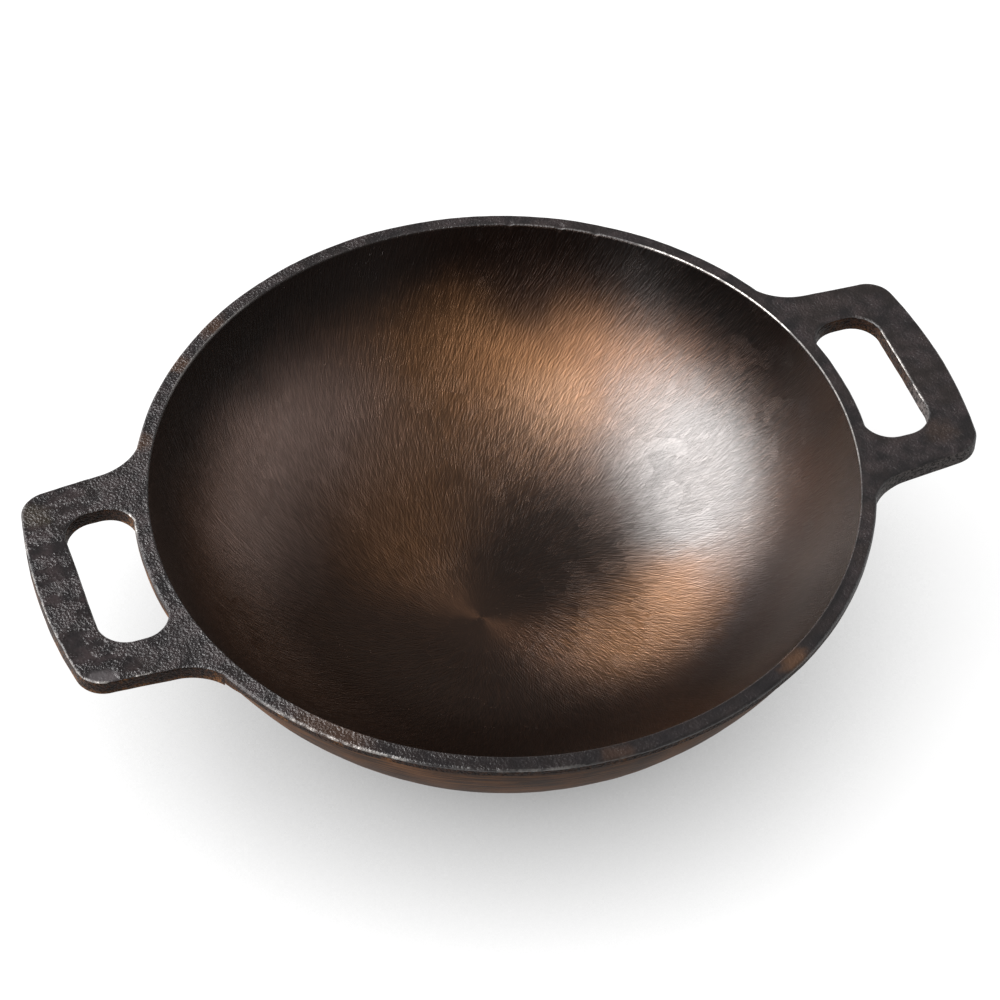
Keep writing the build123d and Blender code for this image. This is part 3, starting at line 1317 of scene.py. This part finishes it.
@dataclass(frozen=True)
class StudioFloor:
    """A pale floor that reads white and keeps the kadai's shadow."""

    radius: float = 6.0
    segments: int = 96
    paint: Colour = (0.12, 0.12, 0.12, 1.0)
    roughness: float = 0.9
    glow: Colour = (1.0, 1.0, 1.0, 1.0)
    lift: float = 1.25
    white: float = 1.0
    shade_reach: float = 0.24
    shade_samples: int = 12

    def build(self) -> None:
        """Makes the floor under the resting face."""
        mesh = bmesh.new()
        bmesh.ops.create_circle(mesh, cap_ends=True, segments=self.segments, radius=self.radius)
        data = bpy.data.meshes.new("studio_floor")
        mesh.to_mesh(data)
        mesh.free()
        data.materials.append(self._paint())
        add_object("studio_floor", data)

    def _paint(self) -> bpy.types.Material:
        """Dull paint that glows white where the camera, gloss or glass sees it, less in the shade."""
        nodes = Nodes("floor_paint")
        seen = nodes.step("LightPath", {}, "Is Camera Ray")
        for ray in ("Is Glossy Ray", "Is Transmission Ray"):
            seen = seen.most(nodes.step("LightPath", {}, ray))
        inputs = {"Distance": self.shade_reach}
        shade = nodes.step("AmbientOcclusion", inputs, "AO", samples=self.shade_samples)
        open_share = (shade * self.lift).least(self.white)
        return nodes.shader(
            Base_Color=self.paint, Roughness=self.roughness, Specular_IOR_Level=0.0,
            Emission_Color=self.glow, Emission_Strength=seen * open_share,
        )


@dataclass(frozen=True)
class SoftBox:
    """A soft studio lamp that faces a point on the kadai, hung at a world angle from it."""

    name: str
    azimuth: float
    elevation: float
    distance: float
    width: float
    height: float
    radiance: float
    target: Point = (0.0, 0.0, 0.04)

    def build(self) -> None:
        """Hangs the lamp."""
        lamp = bpy.data.lights.new(self.name, "AREA")
        lamp.shape = "RECTANGLE"
        lamp.size, lamp.size_y = self.width, self.height
        lamp.energy = self.radiance * math.pi * self.width * self.height
        out = aim(self.azimuth, self.elevation)
        holder = add_object(self.name, lamp)
        holder.location = Vector(self.target) + out * self.distance
        holder.rotation_mode = "QUATERNION"
        holder.rotation_quaternion = out.to_track_quat("Z", "Y")


@dataclass(frozen=True)
class PhotoCamera:
    """The photograph's viewpoint, found from the lip's outline, the slots and the handles."""

    image: float = 1000.0
    focal_pixels: float = 3300.0
    sensor: float = 36.0
    azimuth: float = -20.311
    elevation: float = 48.532
    roll: float = 0.687
    distance: float = 1.12737
    rim_centre_column: float = 504.785
    rim_centre_row: float = 471.399

    def build(self, rim_height: float) -> None:
        """Places the camera so that the rim's centre falls on its pixel.

        Args:
            rim_height: the height of the rim's plane.
        """
        lens = bpy.data.cameras.new("photo_camera")
        lens.sensor_width = self.sensor
        lens.lens = self.focal_pixels * self.sensor / self.image
        back, right = aim(self.azimuth - 90.0, self.elevation), aim(self.azimuth, 0.0)
        roll = Matrix.Rotation(math.radians(self.roll), 3, "Z")
        turn = Matrix((right, back.cross(right), back)).transposed() @ roll
        column, row = self.rim_centre_column - self.image / 2, self.image / 2 - self.rim_centre_row
        sight = Vector((column, row, -self.focal_pixels)).normalized()
        place = Vector((0.0, 0.0, rim_height)) - turn @ sight * self.distance
        camera = add_object("photo_camera", lens)
        camera.matrix_world = Matrix.Translation(place) @ turn.to_4x4()
        bpy.context.scene.camera = camera


KEY_SOFTBOX = SoftBox(
    "key_softbox", azimuth=167.7, elevation=36.4, distance=2.4, width=3.45, height=1.83, radiance=8.3
)
RIGHT_CARD = SoftBox(
    "right_card", azimuth=5.0, elevation=12.0, distance=2.4, width=3.4, height=0.9, radiance=1.3
)


@dataclass
class Studio:
    """The pale floor, the soft lamps, the plain world and the camera."""

    world_grey: float = 0.2
    floor: StudioFloor = field(default_factory=StudioFloor)
    camera: PhotoCamera = field(default_factory=PhotoCamera)
    lamps: tuple[SoftBox, ...] = (KEY_SOFTBOX, RIGHT_CARD)

    def build(self, rim_height: float) -> None:
        """Sets up everything round the kadai."""
        scene = bpy.context.scene
        scene.view_settings.view_transform = "Standard"
        world = bpy.data.worlds.new("studio_world")
        world.use_nodes = True
        grey = self.world_grey
        world.node_tree.nodes["Background"].inputs["Color"].default_value = (grey, grey, grey, 1.0)
        scene.world = world
        self.camera.build(rim_height)
        self.floor.build()
        for lamp in self.lamps:
            lamp.build()


RIM_CHIPS = (
    Chip(69.4, 122.2 * MM, 1.8 * MM, 0.45 * MM),
    Chip(60.6, 122.3 * MM, 2.0 * MM, 0.55 * MM),
    Chip(54.4, 122.0 * MM, 1.7 * MM, 0.45 * MM),
)


def main() -> None:
    """Builds the kadai and its studio."""
    logging.basicConfig(level=logging.INFO, format="%(name)s: %(message)s")
    noise.seed_set(RELIEF_SEED)
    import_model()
    sizes = KadaiSizes.from_frame()
    finishes = {
        Skin.CAST: CastIron(), Skin.GROUND: GroundIron(), Skin.WALL: WallIron(), Skin.SIDE: SideIron(),
    }
    skins = {skin: finish.build() for skin, finish in finishes.items()}
    Studio().build(sizes.height)
    curve = BowlCurve(sizes)
    parts = curve, HandlePlan(sizes), CastRelief(curve, RIM_CHIPS), skins
    BowlCasting(*parts).build()
    LipCasting(*parts).build()
    for side in Side:
        HandleCasting(*parts, side=side).build()


if __name__ == "__main__":
    main()
